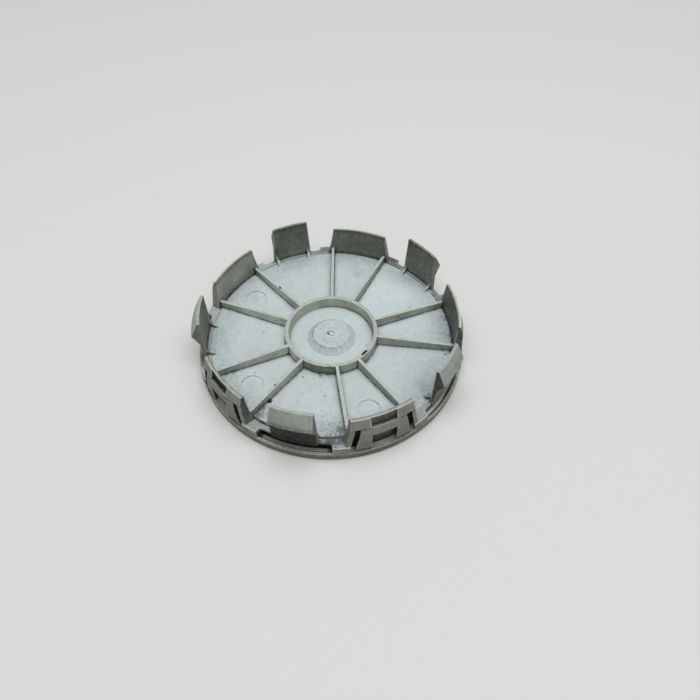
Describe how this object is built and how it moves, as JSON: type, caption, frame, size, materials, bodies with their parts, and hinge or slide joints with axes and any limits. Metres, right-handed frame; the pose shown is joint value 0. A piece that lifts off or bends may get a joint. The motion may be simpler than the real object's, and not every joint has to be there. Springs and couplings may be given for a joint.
{
  "type": "wheel centre cap",
  "caption": "Round plastic wheel centre cap with a ribbed dished back and a ring of barbed snap clips that hold it in a wheel's centre bore.",
  "frame": {"origin": "on the cap's axis, in the plane of the front rim that the cap lies on", "axes": "+Z along the cap's axis from the front face to the clips, +Y through the middle of one wide clip"},
  "size_m": [0.068, 0.0681, 0.0157],
  "materials": {
    "centre_cap": "semi-matte moulded plastic, weathered and a little dirty"
  },
  "bodies": {
    "root": {"centre_cap": "centre_cap"}
  },
  "joints": []
}
